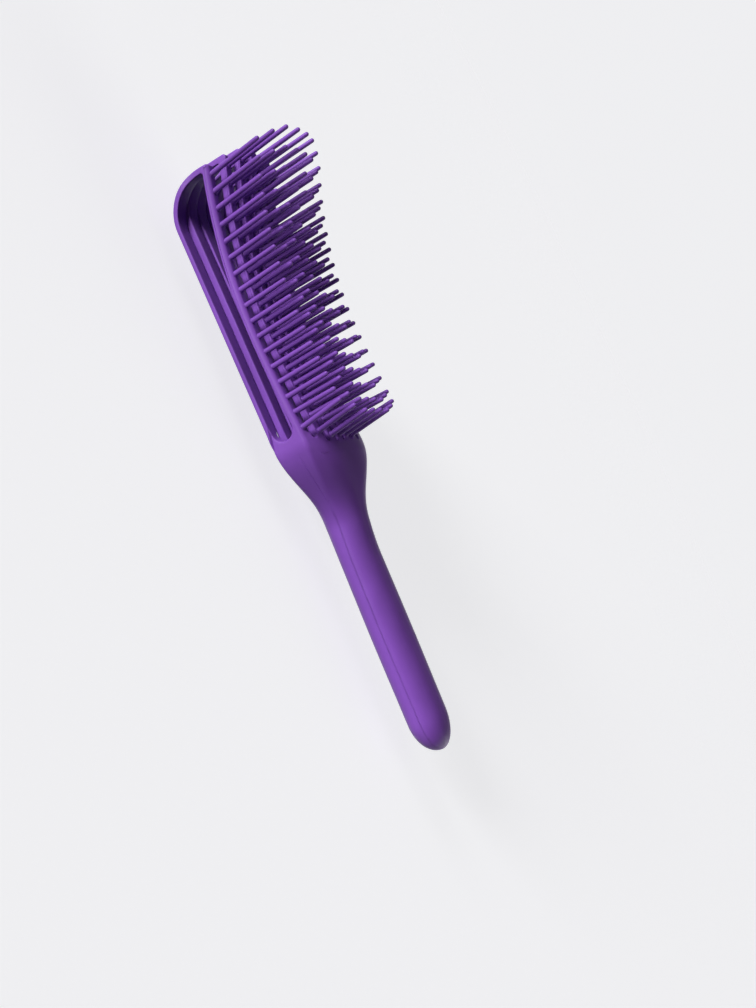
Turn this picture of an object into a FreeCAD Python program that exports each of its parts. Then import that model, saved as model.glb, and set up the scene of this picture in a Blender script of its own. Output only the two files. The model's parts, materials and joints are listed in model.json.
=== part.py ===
"""Detangling brush: a slim two-shell handle that carries eight flexible looped rows of pins.

The brush lies on its back with the pins up.  X runs across the rows, Y runs from the handle
to the tip and Z points along the pins.  Each row is drawn in the head's own frame, where the
outer rows' back arms lie on z = 0, and the finished brush is then tipped to rest on a table.
"""
import FreeCAD, Part
import math
import os

from FreeCAD import Vector

# Rows of pins
ROW_COUNT = 8
ROW_PITCH = 7.5
ROW_WIDTH = 4.7
DOME_RISE = 3.0
DOME_POWER = 4.0

# Pins in a row and their pitch, from the outermost row to the middle one
PIN_ROWS = ((17, 6.5), (17, 6.85), (18, 6.7), (18, 6.7))

# Pins
PIN_ROOT_RADIUS = 1.12
PIN_TIP_RADIUS = 0.92
PIN_LENGTH = 18.5
PIN_EXTRA_AT_TIP = 4.6
PIN_EXTRA_OUTSIDE = 1.5
PIN_LEAN = 1.2
PIN_LEAN_AT_TIP = 1.5
LAST_PIN_LEAN = 7.1
PIN_FAN = 6.0
PIN_EMBED = 1.2

# Loop of one row
TIP_MARGIN = 4.0
BACK_RADIUS = 18.0
NOSE_RADIUS = 1.2
ARM_THICKNESS = 1.9
CREST_THICKNESS = 2.4
STRIP_THICKNESS = 2.8
FACE_LOW_Y = -14.0
FACE_LOW_Z = 12.45
FACE_NECK_RADIUS = 480.0
FACE_TIP_RADIUS_OUTSIDE = 234.0
FACE_TIP_RADIUS_MIDDLE = 158.0
FACE_TIP_POWER = 1.5
WINDOW_MARGIN = 2.4

# Back arm, wider than the strip but for its crest and its root
ARM_WIDTH = 6.7
ARM_WIDE_HEIGHT = 6.0
ARM_CREST_HEIGHT = 16.0
ARM_ROOT_MARGIN = 13.0
ARM_WIDENING = 10.0

# Root of one row in the neck
ROOT_RADIUS = 9.5
ROOT_CLEARANCE = 0.1
POCKET_CLEARANCE = 0.15
SLOT_MARGIN = 2.4

# Neck and grip
NECK_START = -57.0
NECK_OVERLAP = 14.0
NECK_TAPER_LENGTH = 35.0
NECK_DROP_LENGTH = 50.0
NECK_SQUARENESS = 7.0
HANDLE_LENGTH = 130.0
GRIP_WIDTH = 24.5
GRIP_TOP = 10.2
GRIP_BOTTOM = -3.5
GRIP_FALL = 2.2
GRIP_SWELL = 0.8
GRIP_SWELL_LENGTH = 90.0
GRIP_SQUARENESS = 2.2
END_DOME_LENGTH = 14.0
PARTING_SHARE = 0.6
SHELL_WALL = 2.2
CAVITY_MARGIN = 31.0
CAVITY_END_WALL = 4.0
REST_FLAT_DEPTH = 0.25
REST_FLAT_MARGIN = 93.0

# Fineness of the lofted handle
SECTION_POINTS = 40
SECTION_SEAM = math.pi / 3
NECK_STATIONS = 6
GRIP_STATIONS = 4
END_STATIONS = (0.45, 0.75, 0.92, 0.99)
STATION_SPACING = 2.0
PARTING_STATIONS = 12

# Drawing aids
FAR = 400.0
SAME = 0.01
X_AXIS = Vector(1, 0, 0)
Y_AXIS = Vector(0, 1, 0)
Z_AXIS = Vector(0, 0, 1)

# Places that follow from the sizes
OUTER_ROW_X = (ROW_COUNT - 1) / 2 * ROW_PITCH
HEAD_HALF_WIDTH = OUTER_ROW_X + ROW_WIDTH / 2
HANDLE_END = NECK_START - HANDLE_LENGTH
CAVITY_START = NECK_START - CAVITY_MARGIN
REST_FLAT_Y = NECK_START - REST_FLAT_MARGIN


def blend(start, end, share):
    """Ease from start to end as share goes from 0 to 1."""
    share = min(max(share, 0.0), 1.0)
    return start + (end - start) * share * share * (3 - 2 * share)


def row_x(row):
    return (row - (ROW_COUNT + 1) / 2) * ROW_PITCH


def outwardness(x):
    """0 in the middle of the head and 1 at the outer rows."""
    return min(abs(x) / OUTER_ROW_X, 1.0)


def dome(x):
    """Height of the domed head above its outer rows, at a distance x from the middle."""
    return DOME_RISE * (1 - outwardness(x) ** DOME_POWER)


def pin_row(row):
    """Pins in a row and their pitch."""
    return PIN_ROWS[min(row, ROW_COUNT + 1 - row) - 1]


def half_field(row):
    """Half the length of the row's pin field."""
    count, pitch = pin_row(row)
    return (count - 1) / 2 * pitch


def arc_z(y, radius, below=0.0):
    """Height at y of the hollow curve of a pin face, or of the line a constant depth below it."""
    return FACE_LOW_Z + radius - math.sqrt((radius + below) ** 2 - (y - FACE_LOW_Y) ** 2)


def tip_radius(x):
    """Radius of the tip half of a pin face: the middle rows curl up more than the outer ones."""
    share = outwardness(x) ** FACE_TIP_POWER
    return 1 / ((1 - share) / FACE_TIP_RADIUS_MIDDLE + share / FACE_TIP_RADIUS_OUTSIDE)


def point(y, z):
    return Vector(0, y, z)


def line(start, end):
    return Part.LineSegment(start, end).toShape()


def mirrored(corners):
    """Corners of the right half of a view, carried on by those of the left half."""
    return corners + [Vector(-corner.x, corner.y, corner.z) for corner in reversed(corners)]


def quarter_arc(centre_y, centre_z, radius):
    """The back corner of a loop, from the back arm up to the crest."""
    half = radius * math.sqrt(0.5)
    return Part.Arc(point(centre_y, centre_z - radius), point(centre_y + half, centre_z - half),
                    point(centre_y + radius, centre_z)).toShape()


class RowShape:
    """The side view of one row: its loop, its window and the pivot of its root."""

    def __init__(self, row):
        self.row = row
        self.x = row_x(row)
        self.lift = dome(self.x)
        self.tip_radius = tip_radius(self.x)
        self.half = half_field(row)
        self.top_y = self.half + TIP_MARGIN
        self.inner_top_y = self.top_y - CREST_THICKNESS
        window_end = -self.half - WINDOW_MARGIN
        roof = self.face_z(window_end, STRIP_THICKNESS)
        self.pivot_y = window_end + (roof - ARM_THICKNESS) / 2
        self.pivot_z = (self.face_z(self.pivot_y, STRIP_THICKNESS) + ARM_THICKNESS) / 2
        self.root_y = self.pivot_y - ROOT_RADIUS - ROOT_CLEARANCE

    def face_radius(self, y):
        return self.tip_radius if y > FACE_LOW_Y else FACE_NECK_RADIUS

    def face_z(self, y, below=0.0):
        return arc_z(y, self.face_radius(y), below)

    def face_edges(self, y_start, y_end, below=0.0):
        """Arcs along the pin face, or below it, from y_start at the tip to y_end at the neck."""
        middle_tip = (y_start + FACE_LOW_Y) / 2
        middle_neck = (y_end + FACE_LOW_Y) / 2
        low = point(FACE_LOW_Y, FACE_LOW_Z - below)
        start, tip_way, neck_way, end = [point(y, self.face_z(y, below))
                                         for y in (y_start, middle_tip, middle_neck, y_end)]
        return [Part.Arc(start, tip_way, low).toShape(), Part.Arc(low, neck_way, end).toShape()]

    def outline(self):
        corner_y = self.top_y - BACK_RADIUS
        edges = [line(point(self.root_y, 0), point(corner_y, 0))]
        edges.append(quarter_arc(corner_y, BACK_RADIUS, BACK_RADIUS))
        edges.append(line(point(self.top_y, BACK_RADIUS), point(self.top_y, self.face_z(self.top_y))))
        edges += self.face_edges(self.top_y, self.root_y)
        edges.append(line(point(self.root_y, self.face_z(self.root_y)), point(self.root_y, 0)))
        return Part.Face(Part.Wire(edges))

    def window(self):
        """The opening that the arm, the crest and the strip enclose, round at the neck."""
        radius = BACK_RADIUS - ARM_THICKNESS
        corner_y = self.inner_top_y - radius
        corner_z = ARM_THICKNESS + radius
        roof_z = self.face_z(self.inner_top_y, STRIP_THICKNESS)
        neck_roof_z = self.face_z(self.pivot_y, STRIP_THICKNESS)
        half_height = (neck_roof_z - ARM_THICKNESS) / 2
        edges = [line(point(self.pivot_y, ARM_THICKNESS), point(corner_y, ARM_THICKNESS))]
        edges.append(quarter_arc(corner_y, corner_z, radius))
        edges.append(line(point(self.inner_top_y, corner_z), point(self.inner_top_y, roof_z)))
        edges += self.face_edges(self.inner_top_y, self.pivot_y, STRIP_THICKNESS)
        edges.append(Part.Arc(point(self.pivot_y, neck_roof_z),
                              point(self.pivot_y - half_height, self.pivot_z),
                              point(self.pivot_y, ARM_THICKNESS)).toShape())
        return Part.Face(Part.Wire(edges))

    def strip_band(self):
        """The strip that carries the pins, from the crest to the neck end of the window."""
        upper = self.face_edges(self.top_y, self.pivot_y)
        lower = self.face_edges(self.top_y, self.pivot_y, STRIP_THICKNESS)
        ends = [line(point(y, self.face_z(y)), point(y, self.face_z(y, STRIP_THICKNESS)))
                for y in (self.top_y, self.pivot_y)]
        return Part.Face(Part.Wire(Part.__sortEdges__(upper + lower + ends)))

    def solid(self, face, width):
        """Give a side view a width, at the row's place."""
        return face.translated(Vector(self.x - width / 2, 0, self.lift)).extrude(Vector(width, 0, 0))

    def root_cylinder(self, radius, width):
        base = Vector(self.x - width / 2, self.pivot_y, self.pivot_z + self.lift)
        return Part.makeCylinder(radius, width, base, X_AXIS)

    def trim_root(self, shape):
        """Round the root about the pivot, so that it can turn in its pocket."""
        block = Part.makeBox(ROW_PITCH, FAR, FAR,
                             Vector(self.x - ROW_PITCH / 2, self.pivot_y - FAR, -FAR / 2))
        return shape.cut(block.cut(self.root_cylinder(ROOT_RADIUS, ROW_PITCH)))

    def back_arm(self):
        side = self.outline().cut(self.window()).cut(self.strip_band())
        arm = self.solid(side, ARM_WIDTH).common(self.arm_front()).common(self.arm_plan())
        return self.trim_root(arm)

    def arm_front(self):
        """Space of the arm in front view: wide along the back, as wide as the strip at the crest."""
        low, crest = self.lift + ARM_WIDE_HEIGHT, self.lift + ARM_CREST_HEIGHT
        half_view = [(ARM_WIDTH, -FAR), (ARM_WIDTH, low), (ROW_WIDTH, crest), (ROW_WIDTH, FAR)]
        corners = mirrored([Vector(width / 2, -FAR, z) for width, z in half_view])
        return self.prism(corners, Vector(0, 2 * FAR, 0))

    def arm_plan(self):
        """Space of the arm in plan view: as wide as the strip at the root, wide from there on."""
        root = NECK_START + ARM_ROOT_MARGIN
        half_view = [(ROW_WIDTH, -FAR), (ROW_WIDTH, root), (ARM_WIDTH, root + ARM_WIDENING), (ARM_WIDTH, FAR)]
        corners = mirrored([Vector(width / 2, y, -FAR) for width, y in half_view])
        return self.prism(corners, Vector(0, 0, 2 * FAR))

    def prism(self, corners, reach):
        face = Part.Face(Part.makePolygon(corners + corners[:1]))
        return face.translated(Vector(self.x, 0, 0)).extrude(reach)

    def pin_strip(self):
        strip = self.solid(self.strip_band(), ROW_WIDTH)
        nose = [edge for edge in strip.Edges if self.is_nose(edge)]
        return strip.makeFillet(NOSE_RADIUS, nose)

    def is_nose(self, edge):
        """Tell the edge across the row where the pin face meets the crest."""
        nose = Vector(self.x, self.top_y, self.face_z(self.top_y) + self.lift)
        return edge.CenterOfMass.distanceToPoint(nose) < SAME

    def pins(self):
        count, pitch = pin_row(self.row)
        solids = [self.one_pin(self.half - index * pitch, index == count - 1) for index in range(count)]
        return Part.makeCompound(solids)

    def seat_block(self, y):
        """The space below a pin's flat foot, whose rim rests on the slightly hollow pin face."""
        radius = self.face_radius(y)
        across = y - FACE_LOW_Y
        normal = Vector(0, -across / math.sqrt(radius ** 2 - across ** 2), 1)
        rim_lift = PIN_ROOT_RADIUS ** 2 / (2 * radius)
        foot = Vector(self.x, y, self.face_z(y) + self.lift + rim_lift)
        block = Part.makeBox(2 * ROW_WIDTH, 2 * ROW_WIDTH, ROW_WIDTH,
                             Vector(-ROW_WIDTH, -ROW_WIDTH, -ROW_WIDTH))
        block.Placement = FreeCAD.Placement(foot, FreeCAD.Rotation(Z_AXIS, normal))
        return block

    def one_pin(self, y, is_last):
        """A tapered pin with a round tip, cut off square to the pin face it stands on."""
        run = max(y - FACE_LOW_Y, 0) / (self.half - FACE_LOW_Y)
        lean = LAST_PIN_LEAN if is_last else PIN_LEAN + PIN_LEAN_AT_TIP * run
        length = PIN_LENGTH + PIN_EXTRA_AT_TIP * run ** 2
        length += PIN_EXTRA_OUTSIDE * outwardness(self.x) ** DOME_POWER
        shoulder = length - PIN_TIP_RADIUS
        rim = PIN_TIP_RADIUS * math.sqrt(0.5)
        edges = [line(Vector(0, 0, -PIN_EMBED), Vector(PIN_ROOT_RADIUS, 0, -PIN_EMBED)),
                 line(Vector(PIN_ROOT_RADIUS, 0, -PIN_EMBED), Vector(PIN_TIP_RADIUS, 0, shoulder)),
                 Part.Arc(Vector(PIN_TIP_RADIUS, 0, shoulder), Vector(rim, 0, shoulder + rim),
                          Vector(0, 0, length)).toShape(),
                 line(Vector(0, 0, length), Vector(0, 0, -PIN_EMBED))]
        pin = Part.Face(Part.Wire(edges)).revolve(Vector(0, 0, 0), Z_AXIS, 360)
        pin.rotate(Vector(0, 0, 0), X_AXIS, -lean)
        pin.rotate(Vector(0, 0, 0), Y_AXIS, PIN_FAN * self.x / OUTER_ROW_X)
        pin.translate(Vector(self.x, y, self.face_z(y) + self.lift))
        return pin.cut(self.seat_block(y)).Solids[0]


def neck_width(y):
    """Half the width of the neck and grip at y."""
    past_start = NECK_START - y
    along_swell = blend(0, 1, (past_start - NECK_TAPER_LENGTH) / GRIP_SWELL_LENGTH)
    taper = blend(HEAD_HALF_WIDTH, GRIP_WIDTH / 2, past_start / NECK_TAPER_LENGTH)
    return taper + GRIP_SWELL * math.sin(math.pi * along_swell)


def grip_fall(y):
    """Fall of the grip towards its end, by which it lies along the table."""
    along = (NECK_START - NECK_TAPER_LENGTH - y) / (HANDLE_LENGTH - NECK_TAPER_LENGTH)
    return GRIP_FALL * max(along, 0.0)


def neck_top(y):
    """Height of the handle's pin side at y, without the arch: it carries the pin faces on."""
    if y > NECK_START:
        return arc_z(y, FACE_NECK_RADIUS)
    share = min((NECK_START - y) / NECK_DROP_LENGTH, 1.0)
    slope = (FACE_LOW_Y - NECK_START) / FACE_NECK_RADIUS
    lead_out = slope * NECK_DROP_LENGTH * share * (1 - share) ** 2
    return blend(arc_z(NECK_START, FACE_NECK_RADIUS), GRIP_TOP, share) + lead_out - grip_fall(y)


def neck_bottom(y):
    """Height of the handle's back at y."""
    return blend(0, GRIP_BOTTOM, (NECK_START - y) / NECK_TAPER_LENGTH) - grip_fall(y)


def parting_z(y):
    """Height of the line where the two shells of the handle meet."""
    return neck_bottom(y) + PARTING_SHARE * (neck_top(y) - neck_bottom(y))


def end_scale(y, end_y):
    """Shrink of the section over the rounded end of the handle."""
    into = max(END_DOME_LENGTH - (y - end_y), 0.0) / END_DOME_LENGTH
    return math.sqrt(max(1 - into * into, 0.0))


def handle_section(y, inset, end_y):
    """A closed squared oval across the handle, arched where it meets the domed head."""
    scale = end_scale(y, end_y)
    half_width = (neck_width(y) - inset) * scale
    half_height = ((neck_top(y) - neck_bottom(y)) / 2 - inset) * scale
    middle_z = (neck_top(y) + neck_bottom(y)) / 2
    share = (NECK_START - y) / NECK_TAPER_LENGTH
    power = blend(NECK_SQUARENESS, GRIP_SQUARENESS, share)
    arch = blend(1, 0, share)
    points = []
    for step in range(SECTION_POINTS):
        turn = 2 * math.pi * (step + 0.5) / SECTION_POINTS + SECTION_SEAM
        reach = (abs(math.cos(turn)) ** power + abs(math.sin(turn)) ** power) ** (-1 / power)
        across = reach * math.cos(turn)
        up = reach * math.sin(turn)
        rise = arch * dome(across * HEAD_HALF_WIDTH)
        points.append(Vector(half_width * across, y, middle_z + half_height * up + rise))
    curve = Part.BSplineCurve()
    curve.interpolate(points, PeriodicFlag=True)
    return Part.Wire(curve.toShape())


def handle_loft(y_start, y_end, inset):
    """Loft from the neck to the rounded end, inset from the outside by the wall."""
    neck_end = NECK_START - NECK_DROP_LENGTH
    dome_start = y_end + END_DOME_LENGTH
    neck = [NECK_START - NECK_DROP_LENGTH * step / NECK_STATIONS for step in range(NECK_STATIONS + 1)]
    stations = [y_start] + [y for y in neck if y < y_start - STATION_SPACING]
    for step in range(1, GRIP_STATIONS + 1):
        stations.append(neck_end + (dome_start - neck_end) * step / GRIP_STATIONS)
    stations += [dome_start - END_DOME_LENGTH * share for share in END_STATIONS]
    sections = [handle_section(y, inset, y_end) for y in stations]
    return Part.makeLoft(sections, True, False)


def gap_cutter(index, rows):
    """The open slot between two rows, with a round end in the neck."""
    left = rows[index]
    right = rows[index + 1]
    width = ROW_PITCH - ROW_WIDTH
    middle_x = (left.x + right.x) / 2
    end_y = -max(left.half, right.half) - SLOT_MARGIN + width / 2
    round_end = Part.makeCylinder(width / 2, FAR, Vector(middle_x, end_y, -FAR / 2), Z_AXIS)
    opening = Part.makeBox(width, FAR, FAR, Vector(middle_x - width / 2, end_y, -FAR / 2))
    return round_end.fuse(opening)


def pocket_cutter(shape):
    """The round seat of one row's root, open towards the tip and, at the outer rows, sideways."""
    left = shape.x - ROW_WIDTH / 2 - POCKET_CLEARANCE
    right = shape.x + ROW_WIDTH / 2 + POCKET_CLEARANCE
    if shape.row == 1:
        left -= ROW_PITCH
    if shape.row == ROW_COUNT:
        right += ROW_PITCH
    seat = Part.makeCylinder(ROOT_RADIUS + ROOT_CLEARANCE, right - left,
                             Vector(left, shape.pivot_y, shape.pivot_z + shape.lift), X_AXIS)
    opening = Part.makeBox(right - left, FAR, FAR, Vector(left, shape.pivot_y, -FAR / 2))
    return seat.fuse(opening)


def above_parting():
    """Everything above the line where the two shells of the handle meet."""
    y_start = NECK_START + 2 * NECK_OVERLAP
    span = y_start - HANDLE_END
    places = [y_start - span * step / PARTING_STATIONS for step in range(PARTING_STATIONS + 1)]
    points = [point(y, parting_z(y)) for y in places]
    curve = Part.BSplineCurve()
    curve.interpolate(points)
    corners = [points[-1], point(points[-1].y, FAR), point(points[0].y, FAR), points[0]]
    edges = [curve.toShape()] + [line(start, end) for start, end in zip(corners, corners[1:])]
    face = Part.Face(Part.Wire(edges)).translated(Vector(-FAR / 2, 0, 0))
    return face.extrude(Vector(FAR, 0, 0))


def handle_shells(rows, table):
    """The front and the back shell of the handle, which hold the roots of the rows between them."""
    body = handle_loft(NECK_START + NECK_OVERLAP, HANDLE_END, 0)
    body = body.cut(handle_loft(CAVITY_START, HANDLE_END + CAVITY_END_WALL, SHELL_WALL))
    upper = above_parting()
    cutters = [gap_cutter(index, rows) for index in range(ROW_COUNT - 1)]
    cutters += [pocket_cutter(shape) for shape in rows]
    cutters.append(table)
    shells = []
    for shell in (body.common(upper), body.cut(upper)):
        for cutter in cutters:
            shell = shell.cut(cutter)
        shells.append(shell)
    return shells


def rest_corner():
    """Lowest point of an outer row's back, where its corner starts to curve up."""
    return point(half_field(1) + TIP_MARGIN - BACK_RADIUS, 0)


def rest_tilt():
    """Angle of the table against the head: it meets the outer rows' corners and the grip's back."""
    corner = rest_corner()
    drop = corner.z - neck_bottom(REST_FLAT_Y) - REST_FLAT_DEPTH
    return math.degrees(math.atan2(drop, corner.y - REST_FLAT_Y))


def table_block(tilt):
    """The space below the table, as it lies in the head's frame."""
    block = Part.makeBox(FAR, 2 * FAR, FAR, Vector(-FAR / 2, -FAR, -FAR))
    block.rotate(Vector(0, 0, 0), X_AXIS, tilt)
    curve_drop = BACK_RADIUS * (1 / math.cos(math.radians(tilt)) - 1)
    block.translate(rest_corner() - Vector(0, 0, curve_drop))
    return block


def main():
    os.makedirs("parts", exist_ok=True)
    rows = [RowShape(row) for row in range(1, ROW_COUNT + 1)]
    tilt = rest_tilt()
    nodes = {}
    nodes["handle_front_shell"], nodes["handle_back_shell"] = handle_shells(rows, table_block(tilt))
    for shape in rows:
        nodes[f"row_{shape.row}_back_arm"] = shape.back_arm()
        nodes[f"row_{shape.row}_pin_strip"] = shape.pin_strip()
        nodes[f"row_{shape.row}_pins"] = shape.pins()
    for shape in nodes.values():
        shape.rotate(Vector(0, 0, 0), X_AXIS, -tilt)
    whole = Part.makeCompound(list(nodes.values())).optimalBoundingBox()
    shift = Vector(0, -whole.Center.y, -whole.ZMin)
    for name, shape in nodes.items():
        shape.translate(shift)
        shape.exportStep(f"parts/{name}.step")
        print(name, len(shape.Solids), shape.isValid(), round(shape.Volume, 1))
    report_places(rows, tilt, shift)
    print("size", [round(value, 2) for value in (whole.XLength, whole.YLength, whole.ZLength)])


def report_places(rows, tilt, shift):
    """Print where the head's frame and the rows' pivots end up."""
    turn = FreeCAD.Rotation(X_AXIS, -tilt)
    print("tilt", round(tilt, 4), "shift", [round(value, 4) for value in shift])
    for shape in rows:
        pivot = turn.multVec(Vector(shape.x, shape.pivot_y, shape.pivot_z + shape.lift)) + shift
        print("pivot", shape.row, [round(value, 4) for value in pivot])


main()
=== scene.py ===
"""Looks of the detangling brush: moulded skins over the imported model, a pale studio and a camera.

Shapes are drawn in millimetres in the head's own frame, where the outer rows' back arms lie on
z = 0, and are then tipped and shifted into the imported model's frame, in metres.
"""
import json
import math

import bmesh
import bpy
import numpy as np
from mathutils import Matrix, Vector


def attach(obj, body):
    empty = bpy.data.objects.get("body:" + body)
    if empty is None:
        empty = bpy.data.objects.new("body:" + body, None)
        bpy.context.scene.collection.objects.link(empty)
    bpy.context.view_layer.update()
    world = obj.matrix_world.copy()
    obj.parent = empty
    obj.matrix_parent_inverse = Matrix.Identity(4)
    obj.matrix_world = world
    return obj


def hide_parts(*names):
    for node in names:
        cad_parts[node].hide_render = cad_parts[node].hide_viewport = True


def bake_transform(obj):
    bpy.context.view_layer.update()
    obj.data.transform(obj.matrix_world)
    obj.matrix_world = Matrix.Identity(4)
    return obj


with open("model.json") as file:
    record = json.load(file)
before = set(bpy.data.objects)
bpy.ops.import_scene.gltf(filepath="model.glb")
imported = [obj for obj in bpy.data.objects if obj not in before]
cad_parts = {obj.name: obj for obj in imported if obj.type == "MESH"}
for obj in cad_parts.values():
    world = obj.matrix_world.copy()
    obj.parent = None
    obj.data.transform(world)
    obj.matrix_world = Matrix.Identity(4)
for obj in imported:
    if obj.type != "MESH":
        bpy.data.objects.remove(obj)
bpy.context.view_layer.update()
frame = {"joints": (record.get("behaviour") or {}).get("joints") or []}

MM_PER_M = 1000

# Rows and pins, in millimetres
ROW_COUNT = 8
ROWS = range(1, ROW_COUNT + 1)
ROW_PITCH = 7.5
ROW_WIDTH = 4.7
DOME_RISE = 3.0
DOME_POWER = 4.0
DOME_EDGE = 0.12
PIN_ROWS = ((17, 6.5), (17, 6.85), (18, 6.7), (18, 6.7))
PIN_ROOT_RADIUS = 1.12
PIN_TIP_RADIUS = 0.92
PIN_FLARE = 0.35
PIN_LENGTH = 18.5
PIN_EXTRA_AT_TIP = 4.6
PIN_EXTRA_OUTSIDE = 1.5
PIN_LEAN = 1.2
PIN_LEAN_AT_TIP = 1.5
LAST_PIN_LEAN = 7.1
PIN_FAN = 6.0
PIN_EMBED = 0.4

# Loop of one row
TIP_MARGIN = 4.0
BACK_RADIUS = 18.0
NOSE_RADIUS = 1.2
INNER_NOSE_RADIUS = 1.0
ARM_THICKNESS = 1.9
CREST_THICKNESS = 2.4
STRIP_THICKNESS = 2.8
FACE_LOW_Y = -14.0
FACE_LOW_Z = 12.45
FACE_NECK_RADIUS = 480.0
FACE_TIP_RADIUS_OUTSIDE = 234.0
FACE_TIP_RADIUS_MIDDLE = 158.0
FACE_TIP_POWER = 1.5
ARM_WIDTH = 6.7
ARM_WIDE_HEIGHT = 6.0
ARM_CREST_HEIGHT = 16.0
ARM_ROOT_MARGIN = 0.5
ARM_WIDENING = 3.5
ARM_SAG = 0.55
WINDOW_MARGIN = 2.4
SLOT_MARGIN = 2.4
SLOT_ROUND = 0.55
WINDOW_ROUND = 0.3
FRONT_EDGE_ROUND = 1.8
BACK_EDGE_ROUND = 0.6
LINE_DEPTH = 0.16
LINE_WIDTH = 0.26
LINE_OFFSET = 0.12
LINE_START_Y = -50.0
LINE_FADE_LENGTH = 4.0
LINE_FLANK_SHARE = 0.3
LINE_HALF_SHARE = 0.6
LINE_MOST_SHARES = (0, 0.15, 0.3, 0.45)

# Neck and grip
NECK_START = -57.0
MELT_START = -49.0
MELT_LENGTH = 8.0
NECK_TAPER_LENGTH = 35.0
NECK_DROP_LENGTH = 50.0
EDGE_SOFTENING_LENGTH = 30.0
HANDLE_LENGTH = 130.0
GRIP_WIDTH = 24.5
GRIP_TOP = 10.2
GRIP_BOTTOM = -3.5
GRIP_FALL = 2.2
GRIP_SWELL = 0.8
GRIP_SWELL_LENGTH = 90.0
GRIP_ROUNDNESS = 0.86
END_DOME_LENGTH = 14.0
END_INSET = 0.1
PARTING_SHARE = 0.6
REST_FLAT_DEPTH = 0.25
REST_FLAT_MARGIN = 93.0
STEM_LENGTH = 7.0
STEM_UNDERLAP = 3.0
STEM_INSET = 0.04
STEM_INSET_LENGTH = 0.4

# Places that follow from the sizes
OUTER_ROW_X = (ROW_COUNT - 1) / 2 * ROW_PITCH
HEAD_HALF_WIDTH = OUTER_ROW_X + ROW_WIDTH / 2
SLOT_RADIUS = (ROW_PITCH - ROW_WIDTH) / 2
HANDLE_END = NECK_START - HANDLE_LENGTH + END_INSET
HANDLE_START = NECK_START - STEM_LENGTH + STEM_UNDERLAP
STEM_START = NECK_START - STEM_LENGTH

# Fineness of the meshes
STEM_STEPS = 5
SLOT_STEPS = 8
FACE_STEPS = 56
NOSE_STEPS = 8
CREST_STEPS = 4
CORNER_STEPS = 18
BACK_STEPS = 30
WALL_RISE_STEPS = 5
ROUND_STEPS = 5
MIDDLE_STEPS = 6
PIN_SIDES = 16
PIN_TIP_STEPS = 5
PIN_FLARE_STEPS = 3
PIN_SHAFT_SHARES = (0.33, 0.67)
WINDOW_ROUND_STEPS = 3
WALL_SHARES = (1 / 3, 2 / 3, 1)
HANDLE_STEPS = 69
END_DOME_STEPS = 16
SECTION_SIDE_SHARES = (0, 0.25, 0.5, 0.75)
SECTION_CORNER_STEPS = 8
SECTION_FLAT_SHARES = (0.2, 0.4, 0.6, 0.8)
FLOOR_SIDES = 96
SMOOTH_SIDES = 4
SLOPE_STEP = 0.01
LEAST_LENGTH = 1e-6
SHARP_ANGLE = 40.0
WELD = 2e-7

# Moulded nylon: colour and roughness of each slot, and the clouds and grain that all share
HANDLE_NYLON = ((0.200, 0.070, 0.410), 0.40)
ROW_NYLON = ((0.198, 0.069, 0.405), 0.42)
# The pins' nylon is a darker copy of the rows' nylon: painted shade, since the pins are the same
# plastic as the rows
PIN_NYLON_PAINTED_SHADE = ((0.165, 0.056, 0.350), 0.42)
NYLON_SPECULAR = 0.22
CLOUD_SCALE = 38.0
CLOUD_DETAIL = 3.0
CLOUD_RANGE = (0.3, 0.7)
CLOUD_TINTS = (0.9, 1.08)
CLOUD_ROUGHNESS = (0.88, 1.12)
GRAIN_SCALE = 2600.0
GRAIN_DETAIL = 2.0
GRAIN_STRENGTH = 0.06
GRAIN_DEPTH = 0.0001

# Camera, in the head's frame
CAMERA_PLACE = (-432.15, -128.91, 182.92)
CAMERA_FORWARD = (0.93156, 0.08699, -0.35303)
CAMERA_RIGHT = (0.35679, -0.40565, 0.84148)
CAMERA_LENS = 41.79
CAMERA_REACH = 100.0
SENSOR = 36.0

# Floor and light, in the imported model's frame and in metres
FLOOR_DROP = 0.009
FLOOR_RADIUS = 1.6
FLOOR_SOLID_RADIUS = 0.3
FLOOR_COLOUR = (0.50, 0.50, 0.51)
BACKDROP_COLOUR = (0.86, 0.86, 0.88)
FLOOR_GLOW = 0.80
WORLD_GLOW = 0.03
CEILING_GLOW = 0.06
CEILING_RANGE = (0.0, 0.25)

# Lamps: where each light comes from, its spread in degrees and its strength
LAMPS = {
    "key_light": ((-1.0, 0.80, 0.10), 24.0, 5.5),
    "tip_light": ((-0.25, 1.0, 0.40), 20.0, 0.4),
    "overhead_light": ((-0.1, 0.1, 1.0), 60.0, 0.15),
    "fill_light": ((0.75, -1.0, 0.12), 60.0, 1.3),
}


def ease(share):
    """A share from 0 to 1 that starts and ends gently."""
    share = np.clip(share, 0.0, 1.0)
    return share * share * (3 - 2 * share)


def mix(start, end, share):
    return start + (end - start) * share


def quarter_turn(steps):
    """Angles from 0 to a right angle."""
    return np.linspace(0, math.pi / 2, steps + 1)


def row_x(row):
    return (row - (ROW_COUNT + 1) / 2) * ROW_PITCH


def pin_row(row):
    """Pins in a row and their pitch."""
    return PIN_ROWS[min(row, ROW_COUNT + 1 - row) - 1]


def half_field(row):
    """Half the length of the row's pin field."""
    count, pitch = pin_row(row)
    return (count - 1) / 2 * pitch


def slot_end(row, neighbour):
    """Where the slot between two rows ends in the neck."""
    return -max(half_field(row), half_field(neighbour)) - SLOT_MARGIN


def tip_radius(row):
    """Radius of the tip half of a pin face: the middle rows curl up more than the outer ones."""
    share = (abs(row_x(row)) / OUTER_ROW_X) ** FACE_TIP_POWER
    return 1 / ((1 - share) / FACE_TIP_RADIUS_MIDDLE + share / FACE_TIP_RADIUS_OUTSIDE)


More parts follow.
